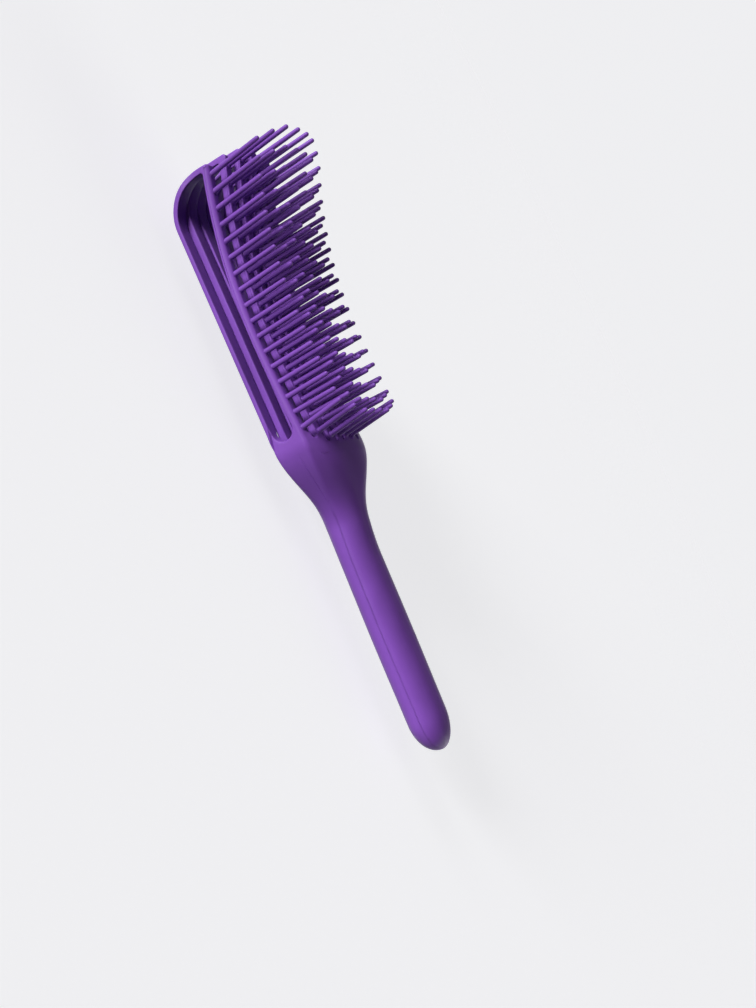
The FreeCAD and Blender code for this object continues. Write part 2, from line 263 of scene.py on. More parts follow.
def face_z(y, tip, below=0.0):
    """Height at y of a pin face with a tip radius, or of the line a constant depth below it."""
    radius = np.where(np.asarray(y) > FACE_LOW_Y, tip, FACE_NECK_RADIUS)
    return FACE_LOW_Z + radius - np.sqrt((radius + below) ** 2 - (y - FACE_LOW_Y) ** 2)


def grip_fall(y):
    """Fall of the grip towards its end, by which it lies along the table."""
    along = (NECK_START - NECK_TAPER_LENGTH - y) / (HANDLE_LENGTH - NECK_TAPER_LENGTH)
    return GRIP_FALL * np.maximum(along, 0.0)


def front_z(y, tip=FACE_TIP_RADIUS_MIDDLE):
    """Height of the pin side at y: the pin face, and the neck that drops from it to the grip."""
    y = np.asarray(y, float)
    slope = (FACE_LOW_Y - NECK_START) / FACE_NECK_RADIUS
    share = np.clip((NECK_START - y) / NECK_DROP_LENGTH, 0.0, 1.0)
    lead_out = slope * NECK_DROP_LENGTH * share * (1 - share) ** 2
    neck = mix(face_z(NECK_START, tip), GRIP_TOP, ease(share)) + lead_out - grip_fall(y)
    return np.where(y >= NECK_START, face_z(np.maximum(y, NECK_START), tip), neck)


def back_z(y):
    """Height of the back at y, which the neck drops to the grip."""
    return mix(0.0, GRIP_BOTTOM, ease((NECK_START - y) / NECK_TAPER_LENGTH)) - grip_fall(y)


def neck_width(y):
    """Half the width of the head, neck and grip at y."""
    past_start = NECK_START - y
    along_swell = ease((past_start - NECK_TAPER_LENGTH) / GRIP_SWELL_LENGTH)
    taper = mix(HEAD_HALF_WIDTH, GRIP_WIDTH / 2, ease(past_start / NECK_TAPER_LENGTH))
    return taper + GRIP_SWELL * np.sin(np.pi * along_swell)


def dome(x):
    """Height of the domed head above its outer rows, outside which it levels off."""
    share = np.abs(x) / OUTER_ROW_X
    past = DOME_EDGE * (1 - np.exp(-DOME_POWER * np.maximum(share - 1, 0) / DOME_EDGE))
    return DOME_RISE * (1 - np.minimum(share, 1) ** DOME_POWER - past)


def rise(x, y):
    """Arch of the neck across its width, which fades out towards the grip."""
    fade = 1 - ease((NECK_START - y) / NECK_TAPER_LENGTH)
    return fade * dome(x / neck_width(y) * HEAD_HALF_WIDTH)


def row_lift(row, x, y, z):
    """Lift of a row: level across it, less under its back arm, until it melts into the neck."""
    below = 1 - ease(np.asarray(z) / ARM_THICKNESS)
    along = ease((y - NECK_START - ARM_ROOT_MARGIN) / ARM_WIDENING)
    level = dome(row_x(row)) * (1 - ARM_SAG * below * along)
    return mix(level, rise(x, y), ease((MELT_START - y) / MELT_LENGTH))


def edge_round(y, at_head):
    """Width and height of the rounding along the outside edges, which grows towards the grip."""
    share = ease((NECK_START - y) / EDGE_SOFTENING_LENGTH)
    height = front_z(y) - back_z(y)
    wide = mix(at_head, GRIP_ROUNDNESS * neck_width(y), share)
    high = mix(at_head, GRIP_ROUNDNESS * height / 2, share)
    return wide, high


# The table the brush rests on, seen from the head's frame
REST_FLAT_Y = NECK_START - REST_FLAT_MARGIN
REST_CORNER_Y = half_field(1) + TIP_MARGIN - BACK_RADIUS
REST_TILT = math.atan2(-back_z(REST_FLAT_Y) - REST_FLAT_DEPTH, REST_CORNER_Y - REST_FLAT_Y)
TIP_BACK = Matrix.Rotation(-REST_TILT, 3, "X")


def table_z(y):
    """Height of the table at y."""
    return math.tan(REST_TILT) * (y - REST_CORNER_Y)


def window_end(row):
    """Place along y, height and radius of the round neck end of a row's window."""
    end, tip = -half_field(row) - WINDOW_MARGIN, tip_radius(row)
    centre_y = end + (face_z(end, tip, STRIP_THICKNESS) - ARM_THICKNESS) / 2
    roof = face_z(centre_y, tip, STRIP_THICKNESS)
    return float(centre_y), float(roof + ARM_THICKNESS) / 2, float(roof - ARM_THICKNESS) / 2


def frame_shift():
    """Shift from the tipped head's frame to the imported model's, found at one row's pivot."""
    row = ROWS[0]
    centre_y, centre_z, _ = window_end(row)
    pivot = TIP_BACK @ Vector((row_x(row), centre_y, centre_z + dome(row_x(row))))
    joint = next(j for j in frame["joints"] if j["name"] == f"row_{row}_flex")
    return Vector(joint["pos_m"]) * MM_PER_M - pivot


SHIFT = frame_shift()


def to_frame(points):
    """Points of the head's frame, in millimetres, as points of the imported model, in metres."""
    turned = np.asarray(points, float) @ np.array(TIP_BACK).T
    return (turned + np.array(SHIFT)) / MM_PER_M


def lifted(points, row=None):
    """Lift points that are drawn flat, by the arch of the neck or by the lift of a row."""
    points = np.array(points, float)
    x, y, z = points[..., 0], points[..., 1], points[..., 2]
    points[..., 2] += row_lift(row, x, y, z) if row else rise(x, y)
    return points


class Skin:
    """Grids of points that are welded into one mesh."""

    def __init__(self):
        self.points = []
        self.faces = []

    def grid(self, lines, closed=False):
        """Add a grid, given as lines of points; a closed grid joins its last line to its first."""
        lines = np.asarray(lines, float)
        count, width = lines.shape[:2]
        base = len(self.points)
        self.points.extend(lines.reshape(-1, 3).tolist())
        for line in range(count if closed else count - 1):
            after = (line + 1) % count
            for step in range(width - 1):
                first = base + line * width + step
                second = base + after * width + step
                self.faces.append((first, first + 1, second + 1, second))

    def piece(self, name, material):
        """Weld the grids, close what is open, and make the object."""
        mesh = bmesh.new()
        vertices = [mesh.verts.new(point) for point in to_frame(self.points)]
        for face in self.faces:
            mesh.faces.new([vertices[index] for index in face])
        bmesh.ops.remove_doubles(mesh, verts=mesh.verts, dist=WELD)
        bmesh.ops.dissolve_degenerate(mesh, edges=mesh.edges, dist=WELD)
        open_edges = [edge for edge in mesh.edges if edge.is_boundary]
        bmesh.ops.holes_fill(mesh, edges=open_edges, sides=0)
        bmesh.ops.recalc_face_normals(mesh, faces=mesh.faces)
        data = bpy.data.meshes.new(name)
        mesh.to_mesh(data)
        mesh.free()
        smooth = [len(face.vertices) <= SMOOTH_SIDES for face in data.polygons]
        data.polygons.foreach_set("use_smooth", smooth)
        data.set_sharp_from_angle(angle=math.radians(SHARP_ANGLE))
        data.materials.append(material)
        piece = bpy.data.objects.new(name, data)
        bpy.context.scene.collection.objects.link(piece)
        return piece


class Outline:
    """Side view of one row: stations round its outside and round its window, paired one to one.

    A station is (y, z, normal y, normal z), and normals point out of the plastic.
    """

    def __init__(self, row):
        self.row = row
        self.face_tip = tip_radius(row)
        self.top_y = half_field(row) + TIP_MARGIN
        self.inner_top_y = self.top_y - CREST_THICKNESS

    def height(self, y, below):
        """Height at y of the pin side, or of the line a constant depth below it."""
        return face_z(y, self.face_tip, below) if below else front_z(y, self.face_tip)

    def along_face(self, y, below, sign):
        """Stations along the pin face, or along the line a constant depth below it."""
        z = self.height(y, below)
        slope = (self.height(y + SLOPE_STEP, below) - z) / SLOPE_STEP
        length = np.hypot(slope, 1)
        return np.stack([y, z, -sign * slope / length, sign / length], axis=-1)

    @staticmethod
    def arc(centre_y, centre_z, radius, start, end, steps, sign):
        """Stations along a round stretch, whose normals point away from its centre for sign 1."""
        turn = np.linspace(start, end, steps + 1)
        return np.stack([centre_y + radius * np.cos(turn), centre_z + radius * np.sin(turn),
                         sign * np.cos(turn), sign * np.sin(turn)], axis=-1)

    @staticmethod
    def straight(start, end, steps, normal):
        """Stations along a straight stretch."""
        share = np.linspace(0, 1, steps + 1)[:, None]
        places = np.asarray(start) + (np.asarray(end) - np.asarray(start)) * share
        return np.hstack([places, np.tile(normal, (steps + 1, 1))])

    def nose(self, top_y, below, radius):
        """Centre of the rounding between face and crest, and the angle where it leaves the face."""
        centre_y = top_y - radius
        centre_z = float(face_z(centre_y, self.face_tip, below + radius))
        lean = math.atan2(FACE_LOW_Z + self.face_tip - centre_z, FACE_LOW_Y - centre_y)
        return centre_y, centre_z, lean

    def tip(self, top_y, below, radius, corner, floor_z, sign):
        """Stations from the end of the face round the nose, the crest and the back corner."""
        centre_y, centre_z, lean = self.nose(top_y, below, radius)
        corner_z = floor_z + corner
        round_nose = self.arc(centre_y, centre_z, radius, lean, 0, NOSE_STEPS, sign)
        crest = self.straight((top_y, centre_z), (top_y, corner_z), CREST_STEPS, (sign, 0))
        back = self.arc(top_y - corner, corner_z, corner, 0, -math.pi / 2, CORNER_STEPS, sign)
        return np.vstack([round_nose, crest[1:], back[1:]])

    def outside(self, start_y):
        """Stations from start_y on the pin face round the tip and back to start_y on the back."""
        centre_y, _, lean = self.nose(self.top_y, 0, NOSE_RADIUS)
        end_y = centre_y + NOSE_RADIUS * math.cos(lean)
        face = self.along_face(np.linspace(start_y, end_y, FACE_STEPS + 1), 0, 1)
        tip = self.tip(self.top_y, 0, NOSE_RADIUS, BACK_RADIUS, 0, 1)
        back_y = np.linspace(self.top_y - BACK_RADIUS, start_y, BACK_STEPS + 1)[1:]
        back = np.stack([back_y, back_z(back_y), 0 * back_y, 0 * back_y - 1], axis=-1)
        return np.vstack([face, tip[1:], back])

    def window(self):
        """Stations round the window, from the middle of its neck end over the roof and back."""
        centre_y, centre_z, half = window_end(self.row)
        nose_y, _, lean = self.nose(self.inner_top_y, STRIP_THICKNESS, INNER_NOSE_RADIUS)
        end_y = nose_y + INNER_NOSE_RADIUS * math.cos(lean)
        rise_steps = WALL_RISE_STEPS + SLOT_STEPS
        upper = self.arc(centre_y, centre_z, half, math.pi, math.pi / 2, rise_steps, -1)
        roof_y = np.linspace(centre_y, end_y, FACE_STEPS + 1)
        roof = self.along_face(roof_y, STRIP_THICKNESS, -1)
        corner = BACK_RADIUS - ARM_THICKNESS
        tip = self.tip(self.inner_top_y, STRIP_THICKNESS, INNER_NOSE_RADIUS, corner,
                       ARM_THICKNESS, -1)
        floor_y = np.linspace(self.inner_top_y - corner, centre_y, BACK_STEPS + 1)[1:]
        floor = np.stack([floor_y, 0 * floor_y + ARM_THICKNESS, 0 * floor_y, 0 * floor_y + 1],
                         axis=-1)
        lower = self.arc(centre_y, centre_z, half, -math.pi / 2, -math.pi, rise_steps, -1)
        return np.vstack([upper, roof[1:], tip[1:], floor, lower[1:]])


class Side:
    """One edge of a row: along a slot, or along the outside of the head."""

    def __init__(self, outline, sign):
        row = outline.row
        self.sign = sign
        self.is_outer = row + sign not in ROWS
        self.end_y = slot_end(row, row - sign if self.is_outer else row + sign)
        self.centre_y = self.end_y + SLOT_RADIUS
        self.wall_x = row_x(row) + sign * ROW_WIDTH / 2
        self.gap_x = row_x(row) + sign * ROW_PITCH / 2
        self.stations = outline.outside(self.centre_y)
        self.widening = self.arm_widening()

    def arm_widening(self):
        """How far the row's side stands out at each station: on the back arm only."""
        y, z = self.stations[:, 0], self.stations[:, 1]
        up = np.clip((ARM_CREST_HEIGHT - z) / (ARM_CREST_HEIGHT - ARM_WIDE_HEIGHT), 0, 1)
        along = np.clip((y - NECK_START - ARM_ROOT_MARGIN) / ARM_WIDENING, 0, 1)
        wide = ease(up) * ease(along) * (ARM_WIDTH - ROW_WIDTH) / 2
        wide[:FACE_STEPS + NOSE_STEPS + 1] = 0
        return self.sign * wide

    def wall_widening(self):
        """The same at each station of the side wall, which also runs round the end of the slot."""
        neck = np.zeros(WALL_RISE_STEPS + SLOT_STEPS + 1)
        return np.concatenate([neck, self.widening[1:-1], neck])

    def rounding(self, y, front_share):
        """Width and height of the edge's rounding, on the pin side (share 1) or the back (0)."""
        if not self.is_outer:
            return SLOT_ROUND, SLOT_ROUND
        return edge_round(y, mix(BACK_EDGE_ROUND, FRONT_EDGE_ROUND, front_share))

    def outer_x(self, y):
        """Outside of the head and neck; inside the handle's own skin it stays just below it."""
        inset = STEM_INSET * ease((HANDLE_START - y) / STEM_INSET_LENGTH)
        return self.sign * (neck_width(y) - inset)

    def stem_line(self):
        """Places along y of the stem's edge, from deep in the neck to where it splits off."""
        stop = self.end_y if self.is_outer else self.end_y - SLOT_ROUND
        return np.linspace(STEM_START, stop, STEM_STEPS + 1)

    def rounds(self, is_front):
        """Lines across the rounding, from its outside in, along the stem or round the slot's end.

        A point of a line is (x, y, depth below the surface).
        """
        share = 1.0 if is_front else 0.0
        turns = quarter_turn(ROUND_STEPS)
        lines = []
        if self.is_outer:
            places = np.concatenate([self.stem_line()[:-1], self.slot_line()])
            for y in places:
                wide, high = self.rounding(y, share)
                x = self.outer_x(y) - self.sign * wide * (1 - np.cos(turns))
                lines.append(np.stack([x, 0 * x + y, high * (1 - np.sin(turns))], axis=-1))
            return np.array(lines)
        for turn in quarter_turn(SLOT_STEPS):
            reach = SLOT_RADIUS + SLOT_ROUND * (1 - np.cos(turns))
            x = self.gap_x - self.sign * reach * math.sin(turn)
            y = self.centre_y - reach * math.cos(turn)
            lines.append(np.stack([x, y, SLOT_ROUND * (1 - np.sin(turns))], axis=-1))
        return np.array(lines)

    def slot_line(self):
        """Places along y of the round end of the slot."""
        return self.centre_y - SLOT_RADIUS * np.cos(quarter_turn(SLOT_STEPS))

    def surface(self, lines, is_front):
        """Turn plan and depth into points on the pin side or the back."""
        x, y, depth = lines[..., 0], lines[..., 1], lines[..., 2]
        z = front_z(y) - depth if is_front else back_z(y) + depth
        return np.stack([x, y, z], axis=-1)

    def band(self):
        """Rounding along the whole edge: up the pin side, round the tip and down the back."""
        turns = quarter_turn(ROUND_STEPS)
        lines = [self.surface(self.rounds(True), True)]
        run = self.stations[1:-1]
        shares = self.front_shares()[1:-1]
        body = []
        for (y, z, normal_y, normal_z), share, widening in zip(run, shares, self.widening[1:-1]):
            wide, high = self.rounding(max(y, NECK_START), share)
            depth = high * (1 - np.sin(turns))
            edge_x = (self.outer_x(y) if self.is_outer else self.wall_x) + widening
            x = edge_x - self.sign * wide * (1 - np.cos(turns))
            body.append(np.stack([x, y - normal_y * depth, z - normal_z * depth], axis=-1))
        lines.append(np.array(body))
        lines.append(self.surface(self.rounds(False), False)[::-1])
        return np.vstack(lines)

    def front_shares(self):
        """1 on the pin face, 0 from the back corner on, easing over the nose and the crest."""
        shares = np.ones(len(self.stations))
        turn_steps = NOSE_STEPS + CREST_STEPS
        shares[FACE_STEPS:FACE_STEPS + turn_steps + 1] = 1 - ease(np.linspace(0, 1, turn_steps + 1))
        shares[FACE_STEPS + turn_steps:] = 0
        return shares

    def stem_edge(self, is_front):
        """The stem's edge where it has no rounding: along the middle of the slot to come."""
        y = self.stem_line()[:-1]
        lines = np.stack([0 * y + self.gap_x, y, 0 * y], axis=-1)
        return self.surface(lines, is_front)

    def inner_edge(self):
        """The line where the row's middle surface starts, station by station."""
        band = self.band()[:, -1]
        if self.is_outer:
            return band
        return np.vstack([self.stem_edge(True), band, self.stem_edge(False)[::-1]])

    def wall_place(self, along, z):
        """Point of the wall at a distance along it, measured from the end of the slot."""
        if self.is_outer:
            y = along
            return np.stack([self.outer_x(y), y, z], axis=-1)
        quarter = SLOT_RADIUS * math.pi / 2
        turn = np.clip(along, 0, quarter) / SLOT_RADIUS
        x = self.gap_x - self.sign * SLOT_RADIUS * np.sin(turn)
        y = self.centre_y - SLOT_RADIUS * np.cos(turn) + np.maximum(along - quarter, 0)
        return np.stack([x, y, z], axis=-1)

    def along(self, y):
        """Distance along the wall of a place past the end of the slot."""
        return y if self.is_outer else SLOT_RADIUS * math.pi / 2 + y - self.centre_y

    def wall_rim(self):
        """Outer rim of the side wall as (distance along it, height), paired with the window."""
        front = self.surface(self.rounds(True), True)[:, 0]
        back = self.surface(self.rounds(False), False)[:, 0]
        if self.is_outer:
            front, back = front[STEM_STEPS:], back[STEM_STEPS:]
            start, slot_along = self.end_y, self.slot_line()
        else:
            start, slot_along = 0.0, SLOT_RADIUS * quarter_turn(SLOT_STEPS)
        middle = (front[0, 2] + back[0, 2]) / 2
        climb = np.linspace(middle, front[0, 2], WALL_RISE_STEPS + 1)[:-1]
        rim = [np.stack([0 * climb + start, climb], axis=-1)]
        rim.append(np.stack([slot_along, front[:, 2]], axis=-1))
        edge = self.band()[:, 0]
        skip = len(self.rounds(True))
        edge = edge[skip:-skip]
        rim.append(np.stack([self.along(edge[:, 1]), edge[:, 2]], axis=-1))
        rim.append(np.stack([slot_along, back[:, 2]], axis=-1)[::-1])
        descend = np.linspace(middle, back[0, 2], WALL_RISE_STEPS + 1)[:-1]
        rim.append(np.stack([0 * descend + start, descend], axis=-1)[::-1])
        return np.vstack(rim)

    def wall(self, window):
        """Side wall between the outer rim and the window, with a fine parting line on the strip."""
        rim = self.wall_rim()
        inner = np.stack([self.along(window[:, 0] - window[:, 2] * WINDOW_ROUND),
                          window[:, 1] - window[:, 3] * WINDOW_ROUND], axis=-1)
        length = np.hypot(*(inner - rim).T)
        line_middle = 2
        marks = np.array([0, LINE_OFFSET, LINE_OFFSET + LINE_WIDTH / 2, LINE_OFFSET + LINE_WIDTH])
        depths = self.line_depths(window)
        lines = []
        widenings = self.wall_widening()
        for start, end, reach, depth, widening in zip(rim, inner, length, depths, widenings):
            shares = np.minimum(marks / max(reach, LEAST_LENGTH), LINE_MOST_SHARES)
            shares = np.concatenate([shares, mix(shares[-1], 1, np.array(WALL_SHARES))])
            places = start + (end - start) * shares[:, None]
            points = self.wall_place(places[:, 0], places[:, 1])
            points[:, 0] += widening
            points[line_middle, 0] -= self.sign * depth
            lines.append(points)
        return np.array(lines)

    def line_depths(self, window):
        """Depth of the parting line at each station: on the strip only, fading in from the neck."""
        depths = np.zeros(len(window))
        first = WALL_RISE_STEPS + SLOT_STEPS
        y = window[first:first + FACE_STEPS, 0]
        depths[first:first + FACE_STEPS] = LINE_DEPTH * ease((y - LINE_START_Y) / LINE_FADE_LENGTH)
        return depths

    def window_edge(self, window):
        """Rounding between the side wall and the inside of the window."""
        turns = quarter_turn(WINDOW_ROUND_STEPS)
        lines = []
        for (y, z, normal_y, normal_z), widening in zip(window, self.wall_widening()):
            depth = WINDOW_ROUND * (1 - np.sin(turns))
            edge_y, edge_z = y - normal_y * depth, z - normal_z * depth
            edge_x = (self.outer_x(edge_y) if self.is_outer else self.wall_x) + widening
            x = edge_x - self.sign * WINDOW_ROUND * (1 - np.cos(turns))
            lines.append(np.stack([x, edge_y, edge_z], axis=-1))
        return np.array(lines)

    def stem_wall(self):
        """Side of the stem in the neck, hidden in the handle or against the next row's stem."""
        front = self.surface(self.rounds(True), True)
        back = self.surface(self.rounds(False), False)
        if self.is_outer:
            upper, lower = front[:STEM_STEPS + 1, 0], back[:STEM_STEPS + 1, 0]
        else:
            upper = np.vstack([self.stem_edge(True), front[0, ::-1]])
            lower = np.vstack([self.stem_edge(False), back[0, ::-1]])
        middle = (upper[-1, 2] + lower[-1, 2]) / 2
        marks = np.concatenate([np.linspace(lower[-1, 2], middle, WALL_RISE_STEPS + 1),
                                np.linspace(middle, upper[-1, 2], WALL_RISE_STEPS + 1)[1:]])
        shares = (marks - lower[-1, 2]) / (upper[-1, 2] - lower[-1, 2])
        return lower[:, None] + (upper - lower)[:, None] * shares[None, :, None]


def span(left, right, steps):
    """Grid lines from each left point to the right point of the same station."""
    shares = np.linspace(0, 1, steps + 1)[None, :, None]
    return left[:, None] + (right - left)[:, None] * shares


def row_loop(row, material):
    """The whole loop of one row, with its stem in the neck, as one closed skin."""
    outline = Outline(row)
    window = outline.window()
    left, right = Side(outline, -1), Side(outline, 1)
    skin = Skin()
    skin.grid(lifted(span(left.inner_edge(), right.inner_edge(), MIDDLE_STEPS), row))
    edges = []
    for side in (left, right):
        skin.grid(lifted(side.band(), row))
        skin.grid(lifted(side.wall(window), row), closed=True)
        edge = side.window_edge(window)
        skin.grid(lifted(edge, row), closed=True)
        skin.grid(lifted(side.stem_wall(), row))
        edges.append(edge[:, -1])
    skin.grid(lifted(span(edges[0], edges[1], MIDDLE_STEPS // 2), row), closed=True)
    return skin.piece(f"row_{row}_loop", material)


def row_pins(row, material):
    """The pins of one row: tapered, with a small flare at the root and a round tip."""
    skin = Skin()
    count, pitch = pin_row(row)
    half = half_field(row)
    extra = PIN_EXTRA_OUTSIDE * (abs(row_x(row)) / OUTER_ROW_X) ** DOME_POWER
    fan = Matrix.Rotation(math.radians(PIN_FAN * row_x(row) / OUTER_ROW_X), 3, "Y")
    turns = np.linspace(0, 2 * math.pi, PIN_SIDES + 1)
    for index in range(count):
        y = half - index * pitch
        run = max(y - FACE_LOW_Y, 0) / (half - FACE_LOW_Y)
        lean = LAST_PIN_LEAN if index == count - 1 else PIN_LEAN + PIN_LEAN_AT_TIP * run
        length = PIN_LENGTH + PIN_EXTRA_AT_TIP * run ** 2 + extra
        turn = np.array(fan @ Matrix.Rotation(math.radians(-lean), 3, "X"))
        foot_z = front_z(y, tip_radius(row)) + row_lift(row, row_x(row), y, FACE_LOW_Z)
        foot = np.array([row_x(row), y, float(foot_z)])
        rings = [np.stack([radius * np.cos(turns), radius * np.sin(turns), 0 * turns + height],
                          axis=-1)
                 for radius, height in pin_profile(length)]
        skin.grid(np.array(rings) @ turn.T + foot)
    return skin.piece(f"row_{row}_pins_skin", material)


def pin_profile(length):
    """Radius and height of each ring of a pin, from inside its strip to its tip."""
    profile = [(PIN_ROOT_RADIUS + PIN_FLARE, -PIN_EMBED)]
    for turn in quarter_turn(PIN_FLARE_STEPS):
        profile.append((PIN_ROOT_RADIUS + PIN_FLARE * (1 - math.sin(turn)),
                        PIN_FLARE * (1 - math.cos(turn))))
    shoulder = length - PIN_TIP_RADIUS
    for share in PIN_SHAFT_SHARES:
        profile.append((mix(PIN_ROOT_RADIUS, PIN_TIP_RADIUS, share),
                        mix(PIN_FLARE, shoulder, share)))
    for turn in quarter_turn(PIN_TIP_STEPS):
        profile.append((PIN_TIP_RADIUS * math.cos(turn),
                        shoulder + PIN_TIP_RADIUS * math.sin(turn)))
    return profile


def handle_stations():
    """Places of the handle's sections along y, with the shrink of each over the rounded end."""
    dome_start = HANDLE_END + END_DOME_LENGTH
    straight = [(y, 1.0) for y in np.linspace(HANDLE_START, dome_start, HANDLE_STEPS + 1)]
    turns = quarter_turn(END_DOME_STEPS)[1:]
    return straight + [(dome_start - END_DOME_LENGTH * math.sin(t), math.cos(t)) for t in turns]


def half_section(y, shrink, is_front):
    """One half of the handle's section, from the parting line on the right to that on the left."""
    top, bottom = float(front_z(y)), float(back_z(y))
    parting = mix(bottom, top, PARTING_SHARE)
    height = top - parting if is_front else parting - bottom
    wide, high = edge_round(y, FRONT_EDGE_ROUND if is_front else BACK_EDGE_ROUND)
    width = float(neck_width(y))
    up = 1 if is_front else -1
    side_height = height - high
    points = [(width - LINE_DEPTH, 0.0),
              (width - LINE_DEPTH * LINE_FLANK_SHARE, LINE_WIDTH * LINE_FLANK_SHARE)]
    points += [(width, mix(LINE_WIDTH * LINE_HALF_SHARE, side_height, share))
               for share in SECTION_SIDE_SHARES]
    for turn in quarter_turn(SECTION_CORNER_STEPS):
        points.append((width - wide * (1 - math.cos(turn)), side_height + high * math.sin(turn)))
    flat = width - wide
    points += [(flat * (1 - share), height) for share in SECTION_FLAT_SHARES]
    points += [(0.0, height)] + [(-x, z) for x, z in reversed(points)]
    return [(x * shrink, y, parting + up * z * shrink) for x, z in points]


def handle_half(is_front, material):
    """The front or the back skin of the neck and grip, up to the parting line."""
    lines = lifted([half_section(y, shrink, is_front) for y, shrink in handle_stations()])
    lines[..., 2] = np.maximum(lines[..., 2], table_z(lines[..., 1]))
    skin = Skin()
    skin.grid(lines)
    name = "handle_front_skin" if is_front else "handle_back_skin"
    return skin.piece(name, material)


def noise(tree, place, scale, detail):
    """A noise texture in the object's own space."""
    texture = tree.nodes.new("ShaderNodeTexNoise")
    texture.inputs["Scale"].default_value = scale
    texture.inputs["Detail"].default_value = detail
    tree.links.new(place.outputs["Object"], texture.inputs["Vector"])
    return texture.outputs["Fac"]


def nylon(name, colour, roughness):
    """Moulded nylon: a satin coloured plastic with faint flow clouds and a very fine grain."""
    material = bpy.data.materials.new(name)
    material.use_nodes = True
    tree = material.node_tree
    nodes, links = tree.nodes, tree.links
    shader = nodes["Principled BSDF"]
    shader.inputs["Specular IOR Level"].default_value = NYLON_SPECULAR
    place = nodes.new("ShaderNodeTexCoord")
    clouds = noise(tree, place, CLOUD_SCALE, CLOUD_DETAIL)
    tint = nodes.new("ShaderNodeValToRGB")
    for stop, position, share in zip(tint.color_ramp.elements, CLOUD_RANGE, CLOUD_TINTS):
        stop.position = position
        stop.color = (*[channel * share for channel in colour], 1)
    links.new(clouds, tint.inputs["Fac"])
    links.new(tint.outputs["Color"], shader.inputs["Base Color"])
    gloss = nodes.new("ShaderNodeMapRange")
    for socket, share in zip(("To Min", "To Max"), CLOUD_ROUGHNESS):
        gloss.inputs[socket].default_value = roughness * share
    links.new(clouds, gloss.inputs["Value"])
    links.new(gloss.outputs["Result"], shader.inputs["Roughness"])
    bump = nodes.new("ShaderNodeBump")
    bump.inputs["Strength"].default_value = GRAIN_STRENGTH
    bump.inputs["Distance"].default_value = GRAIN_DEPTH
    links.new(noise(tree, place, GRAIN_SCALE, GRAIN_DETAIL), bump.inputs["Height"])
    links.new(bump.outputs["Normal"], shader.inputs["Normal"])
    return material


def larger(tree, first, second):
    """The larger of two node values."""
    node = tree.nodes.new("ShaderNodeMath")
    node.operation = "MAXIMUM"
    tree.links.new(first, node.inputs[0])
    tree.links.new(second, node.inputs[1])
    return node.outputs["Value"]


def seen_directly(tree, rays):
    """1 for what the camera sees, also by a mirror or through glass, and 0 for light."""
    unbroken = larger(tree, rays["Is Camera Ray"], rays["Is Glossy Ray"])
    return larger(tree, unbroken, rays["Is Transmission Ray"])


def floor_paint():
    """Pale paint that is shown lighter than it lights, and thins out into the backdrop far off."""
    material = bpy.data.materials.new("pale_floor")
    material.use_nodes = True
    tree = material.node_tree
    nodes, links = tree.nodes, tree.links
    nodes.remove(nodes["Principled BSDF"])
    paint = nodes.new("ShaderNodeBsdfDiffuse")
    paint.inputs["Color"].default_value = (*FLOOR_COLOUR, 1)
    glow = nodes.new("ShaderNodeEmission")
    glow.inputs["Color"].default_value = (*BACKDROP_COLOUR, 1)
    glow.inputs["Strength"].default_value = FLOOR_GLOW
    both = nodes.new("ShaderNodeAddShader")
    links.new(paint.outputs["BSDF"], both.inputs[0])
    links.new(glow.outputs["Emission"], both.inputs[1])
    shown = nodes.new("ShaderNodeMixShader")
    rays = nodes.new("ShaderNodeLightPath").outputs
    links.new(seen_directly(tree, rays), shown.inputs["Fac"])
    links.new(paint.outputs["BSDF"], shown.inputs[1])
    links.new(both.outputs["Shader"], shown.inputs[2])
    place = nodes.new("ShaderNodeTexCoord")
    distance = nodes.new("ShaderNodeVectorMath")
    distance.operation = "LENGTH"
    links.new(place.outputs["Object"], distance.inputs[0])
    thin = nodes.new("ShaderNodeMapRange")
    thin.interpolation_type = "SMOOTHSTEP"
    thin.inputs["From Min"].default_value = FLOOR_SOLID_RADIUS
    thin.inputs["From Max"].default_value = FLOOR_RADIUS
    links.new(distance.outputs["Value"], thin.inputs["Value"])
    clear = nodes.new("ShaderNodeBsdfTransparent")
    surface = nodes.new("ShaderNodeMixShader")
    links.new(thin.outputs["Result"], surface.inputs["Fac"])
    links.new(shown.outputs["Shader"], surface.inputs[1])
    links.new(clear.outputs["BSDF"], surface.inputs[2])
    links.new(surface.outputs["Shader"], nodes["Material Output"].inputs["Surface"])
    return material


def plain_floor():
    """A wide pale floor, far enough under the brush that no row bends into it."""
    mesh = bmesh.new()
    bmesh.ops.create_circle(mesh, cap_ends=True, segments=FLOOR_SIDES, radius=FLOOR_RADIUS)
    data = bpy.data.meshes.new("floor")
    mesh.to_mesh(data)
    mesh.free()
    data.materials.append(floor_paint())
    floor = bpy.data.objects.new("floor", data)
    floor.location.z = -FLOOR_DROP
    bpy.context.scene.collection.objects.link(floor)


def soft_lamp(name, source, spread, strength):
    """A broad even light that comes from a direction."""
    data = bpy.data.lights.new(name, "SUN")
    data.angle = math.radians(spread)
    data.energy = strength
    lamp = bpy.data.objects.new(name, data)
    lamp.rotation_euler = (-Vector(source)).to_track_quat("-Z", "Y").to_euler()
    bpy.context.scene.collection.objects.link(lamp)


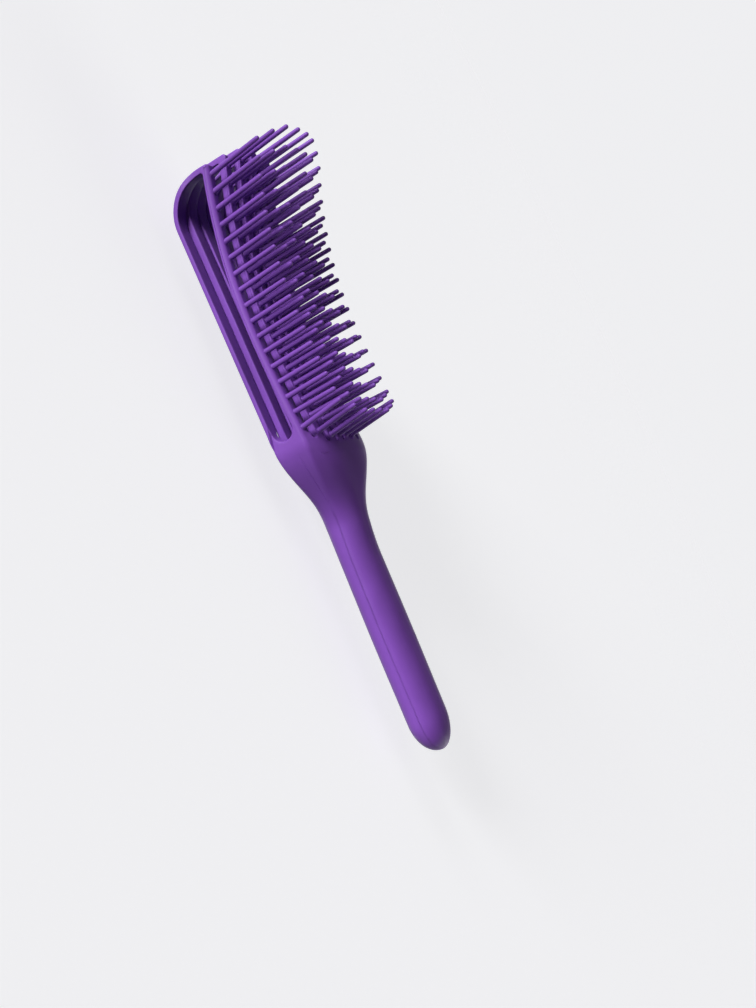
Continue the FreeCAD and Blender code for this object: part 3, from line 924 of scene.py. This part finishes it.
def backdrop():
    """World: a dim glow that lights the brush, and a pale backdrop that is seen behind it.

    Gloss sees the backdrop darken overhead, as a studio's ceiling does.
    """
    world = bpy.data.worlds.new("studio")
    bpy.context.scene.world = world
    world.use_nodes = True
    tree = world.node_tree
    nodes, links = tree.nodes, tree.links
    glow = nodes["Background"]
    glow.inputs["Color"].default_value = (*BACKDROP_COLOUR, 1)
    glow.inputs["Strength"].default_value = WORLD_GLOW
    place = nodes.new("ShaderNodeTexCoord")
    height = nodes.new("ShaderNodeSeparateXYZ")
    links.new(place.outputs["Generated"], height.inputs["Vector"])
    dim = nodes.new("ShaderNodeMapRange")
    dim.interpolation_type = "SMOOTHSTEP"
    for socket, level in zip(("From Min", "From Max"), CEILING_RANGE):
        dim.inputs[socket].default_value = level
    dim.inputs["To Min"].default_value = 1.0
    dim.inputs["To Max"].default_value = CEILING_GLOW
    links.new(height.outputs["Z"], dim.inputs["Value"])
    seen = nodes.new("ShaderNodeBackground")
    seen.inputs["Color"].default_value = (*BACKDROP_COLOUR, 1)
    rays = nodes.new("ShaderNodeLightPath").outputs
    plain = larger(tree, rays["Is Camera Ray"], dim.outputs["Result"])
    links.new(plain, seen.inputs["Strength"])
    switch = nodes.new("ShaderNodeMixShader")
    links.new(seen_directly(tree, rays), switch.inputs["Fac"])
    links.new(glow.outputs["Background"], switch.inputs[1])
    links.new(seen.outputs["Background"], switch.inputs[2])
    links.new(switch.outputs["Shader"], nodes["World Output"].inputs["Surface"])


def studio():
    """Plain soft light, shown without a look of its own."""
    bpy.context.scene.view_settings.view_transform = "Standard"
    backdrop()
    for name, (source, spread, strength) in LAMPS.items():
        soft_lamp(name, source, spread, strength)


def photo_camera():
    """Camera at the photograph's place and angle."""
    data = bpy.data.cameras.new("photo_camera")
    data.lens = CAMERA_LENS
    data.sensor_width = SENSOR
    data.clip_end = CAMERA_REACH
    camera = bpy.data.objects.new("photo_camera", data)
    forward = (TIP_BACK @ Vector(CAMERA_FORWARD)).normalized()
    right = (TIP_BACK @ Vector(CAMERA_RIGHT)).normalized()
    up = right.cross(forward).normalized()
    right = forward.cross(up)
    turn = Matrix((right, up, -forward)).transposed().to_4x4()
    camera.matrix_world = Matrix.Translation(Vector(to_frame([CAMERA_PLACE])[0])) @ turn
    bpy.context.scene.collection.objects.link(camera)
    bpy.context.scene.camera = camera


def brush():
    """All skins, each with the nodes it replaces; the handle's two halves also with the body they
    move with.
    """
    handle_plastic = nylon("handle_nylon", *HANDLE_NYLON)
    row_plastic = nylon("row_nylon", *ROW_NYLON)
    # The pins get the darker copy of the nylon, which is painted shade
    pin_plastic_painted_shade = nylon("pin_nylon_painted_shade", *PIN_NYLON_PAINTED_SHADE)
    for is_front, node in ((True, "handle_front_shell"), (False, "handle_back_shell")):
        half = handle_half(is_front, handle_plastic)
        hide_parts(node)
        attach(half, "handle")
    for row in ROWS:
        loop = row_loop(row, row_plastic)
        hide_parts(f"row_{row}_back_arm", f"row_{row}_pin_strip")
        pins = row_pins(row, pin_plastic_painted_shade)
        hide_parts(f"row_{row}_pins")
        for piece in (loop, pins):
            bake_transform(piece)


brush()
plain_floor()
studio()
photo_camera()
